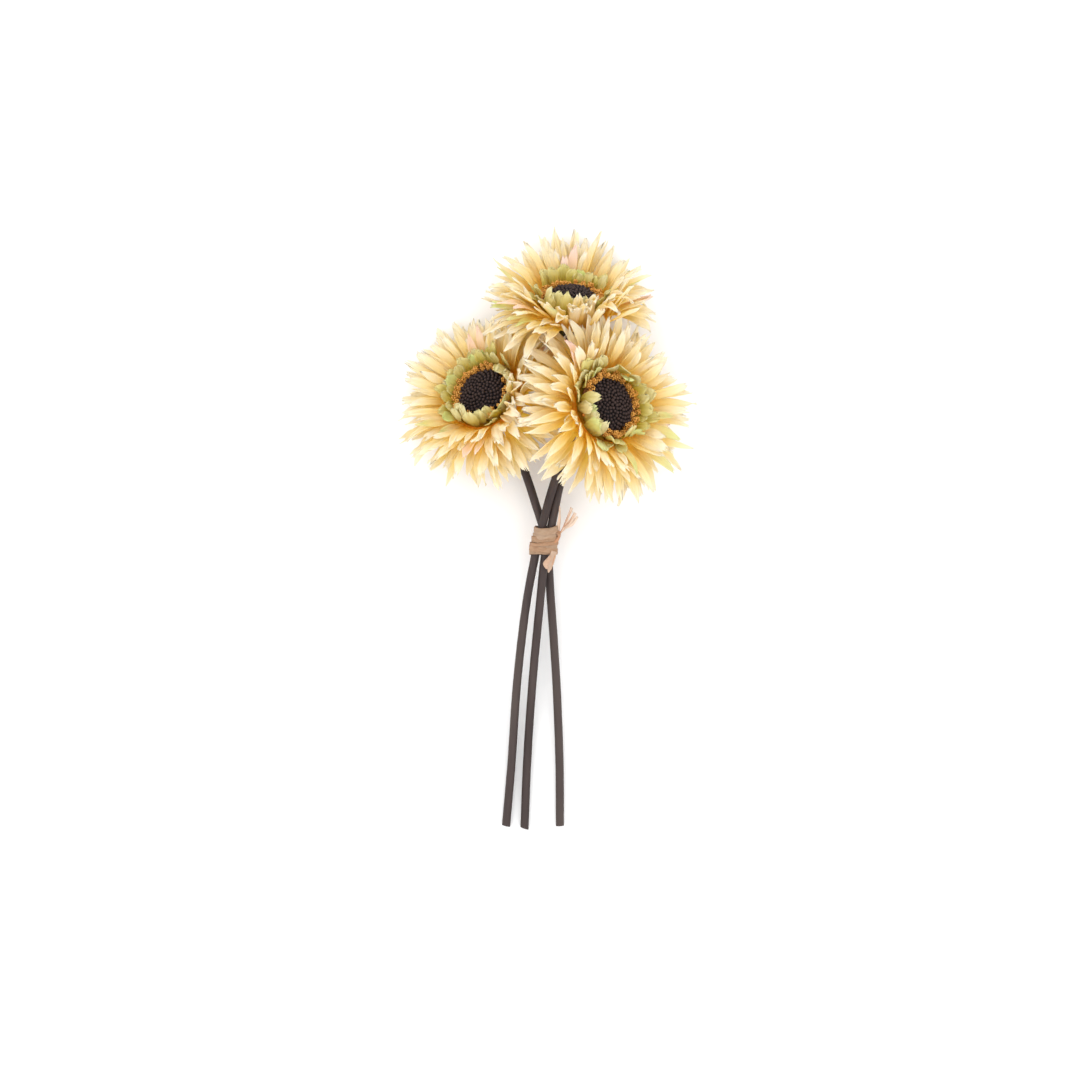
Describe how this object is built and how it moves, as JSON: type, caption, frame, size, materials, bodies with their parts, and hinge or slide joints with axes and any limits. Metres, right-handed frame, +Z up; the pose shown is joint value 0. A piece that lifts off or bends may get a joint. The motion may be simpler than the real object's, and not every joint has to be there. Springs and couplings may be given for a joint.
{
  "type": "bunch of sunflowers",
  "caption": "Tied bunch of fabric sunflowers with cream-yellow petals, dark seed discs and brown coated stems, bound with raffia and lying flat.",
  "frame": {"origin": "middle of the bottom of the box round the bunch, on the surface it lies on", "axes": "+Y along the stems from their cut ends to the flower heads, +Z up from the surface, +X to the right as the flower faces are looked down on"},
  "size_m": [0.1824, 0.3668, 0.0921],
  "materials": {
    "petal_cream": "soft woven petal cloth, orange at the base and cream at the tip",
    "petal_green": "soft woven petal cloth, olive green",
    "stamen_gold": "golden-brown beads",
    "seed_disc_black": "near-black beads",
    "stem_brown": "dark brown coated, matte",
    "calyx_olive": "dark olive, matte",
    "raffia": "tan fibrous strip"
  },
  "bodies": {
    "root": {"calyx_right": "calyx_olive", "seed_disc_right": "seed_disc_black", "stamen_ring_right": "stamen_gold", "stem_right": "stem_brown", "ray_layer_1_right": "petal_cream", "ray_layer_2_right": "petal_cream", "ray_layer_3_right": "petal_cream", "ray_layer_4_right": "petal_cream", "ray_layer_5_right": "petal_cream", "green_layer_1_right": "petal_green", "green_layer_2_right": "petal_green", "calyx_left": "calyx_olive", "seed_disc_left": "seed_disc_black", "stamen_ring_left": "stamen_gold", "stem_left": "stem_brown", "ray_layer_1_left": "petal_cream", "ray_layer_2_left": "petal_cream", "ray_layer_3_left": "petal_cream", "ray_layer_4_left": "petal_cream", "ray_layer_5_left": "petal_cream", "green_layer_1_left": "petal_green", "green_layer_2_left": "petal_green", "calyx_top": "calyx_olive", "seed_disc_top": "seed_disc_black", "stamen_ring_top": "stamen_gold", "stem_top": "stem_brown", "ray_layer_1_top": "petal_cream", "ray_layer_2_top": "petal_cream", "ray_layer_3_top": "petal_cream", "ray_layer_4_top": "petal_cream", "ray_layer_5_top": "petal_cream", "green_layer_1_top": "petal_green", "green_layer_2_top": "petal_green", "tie_band_low": "raffia", "tie_band_middle": "raffia", "tie_band_high": "raffia", "tie_band_outer": "raffia", "tie_knot": "raffia", "tie_tail_folded": "raffia", "tie_tail_straight": "raffia", "tie_tail_frayed": "raffia"}
  },
  "joints": []
}
